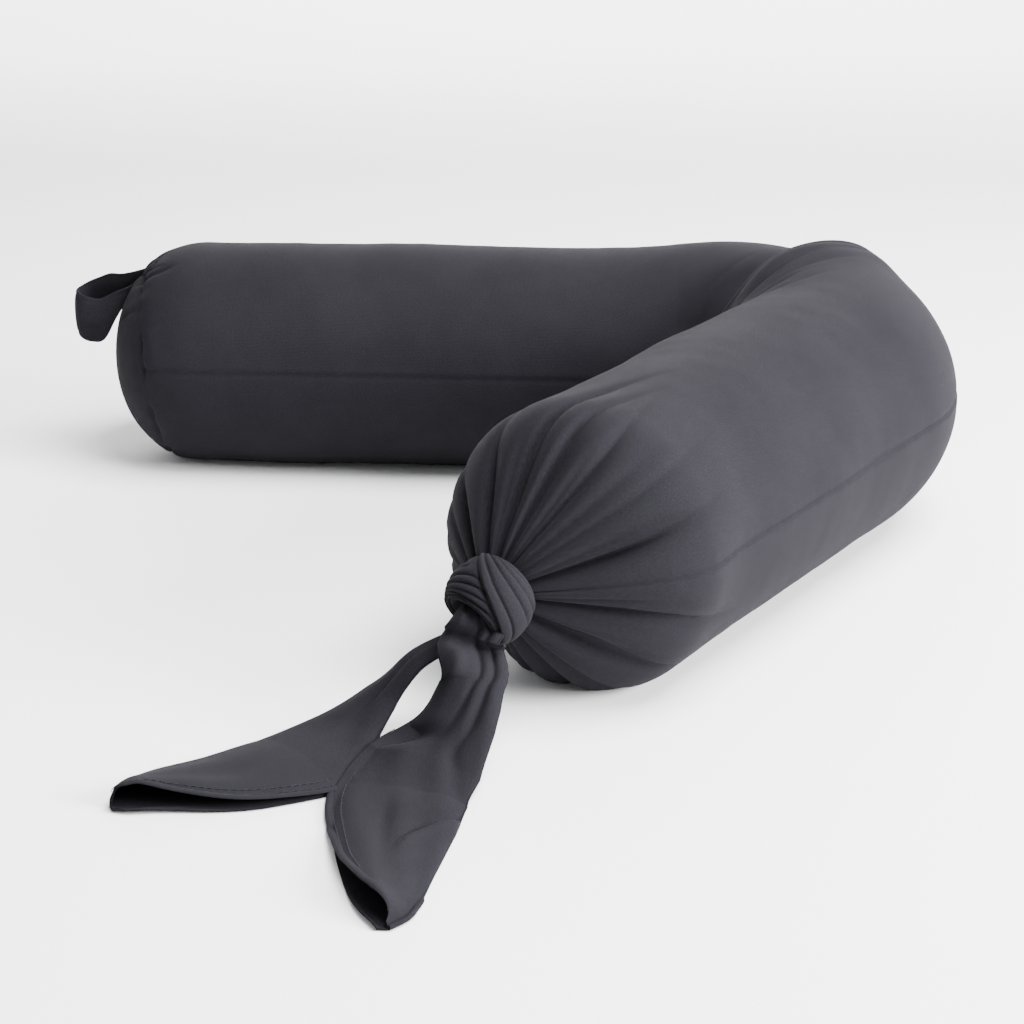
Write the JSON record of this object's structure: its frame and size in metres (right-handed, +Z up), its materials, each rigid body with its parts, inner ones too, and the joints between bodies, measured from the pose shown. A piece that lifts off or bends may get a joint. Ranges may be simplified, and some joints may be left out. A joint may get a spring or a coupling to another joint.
{
  "type": "nursing pillow",
  "caption": "Bent tubular nursing pillow in charcoal jersey, one end sewn with a carry loop, the other gathered and tied with its own two tails.",
  "frame": {"origin": "on the floor, at the flat underside of the elbow, below the middle of the bend", "axes": "+Z up; the back leg runs straight along -X from the bend; +Y points away from the side that the tied front leg comes towards"},
  "size_m": [0.6988, 0.8687, 0.1935],
  "materials": {
    "jersey": "matte",
    "lining": "matte",
    "filling": "matte"
  },
  "bodies": {
    "elbow": {"cover_upper_elbow": "jersey", "cover_lower_elbow": "jersey", "casing_elbow": "lining", "filling_elbow": "filling"},
    "back_leg": {"cover_upper_back": "jersey", "cover_lower_back": "jersey", "cover_end_panel": "jersey", "casing_back": "lining", "casing_end_back": "lining", "filling_back": "filling", "loop_anchor": "jersey"},
    "front_leg": {"cover_upper_front": "jersey", "cover_lower_front": "jersey", "casing_front": "lining", "casing_end_front": "lining", "filling_front": "filling", "gathered_neck": "jersey", "knot_ring": "jersey"},
    "tail_front": {"tail_front": "jersey", "tail_front_hem": "jersey"},
    "tail_left": {"tail_left": "jersey", "tail_left_hem": "jersey"},
    "carry_loop": {"carry_loop": "jersey"}
  },
  "joints": [
    {"name": "back_leg_bend", "type": "hinge", "parent": "elbow", "child": "back_leg", "pos_m": [-0.04089, 0.04009, 0.09], "axis": [0, 0, -1], "range_deg": [-15, 59.25], "deforming": ["cover_upper_elbow", "cover_lower_elbow", "casing_elbow", "filling_elbow"]},
    {"name": "front_leg_bend", "type": "hinge", "parent": "elbow", "child": "front_leg", "pos_m": [0.01572, -0.05507, 0.09], "axis": [0, 0, 1], "range_deg": [-15, 59.25], "deforming": ["cover_upper_elbow", "cover_lower_elbow", "casing_elbow", "filling_elbow"]},
    {"name": "front_tail_lift", "type": "hinge", "parent": "front_leg", "child": "tail_front", "pos_m": [-0.2094, -0.4924, 0.0767], "axis": [-0.9928, 0.12, 0], "range_deg": [0, 90]},
    {"name": "left_tail_lift", "type": "hinge", "parent": "front_leg", "child": "tail_left", "pos_m": [-0.2279, -0.4787, 0.0767], "axis": [-0.6, 0.8, 0], "range_deg": [0, 90]},
    {"name": "loop_swing", "type": "hinge", "parent": "back_leg", "child": "carry_loop", "pos_m": [-0.5251, 0.0404, 0.169], "axis": [0, 1, 0], "range_deg": [0, 80]}
  ]
}
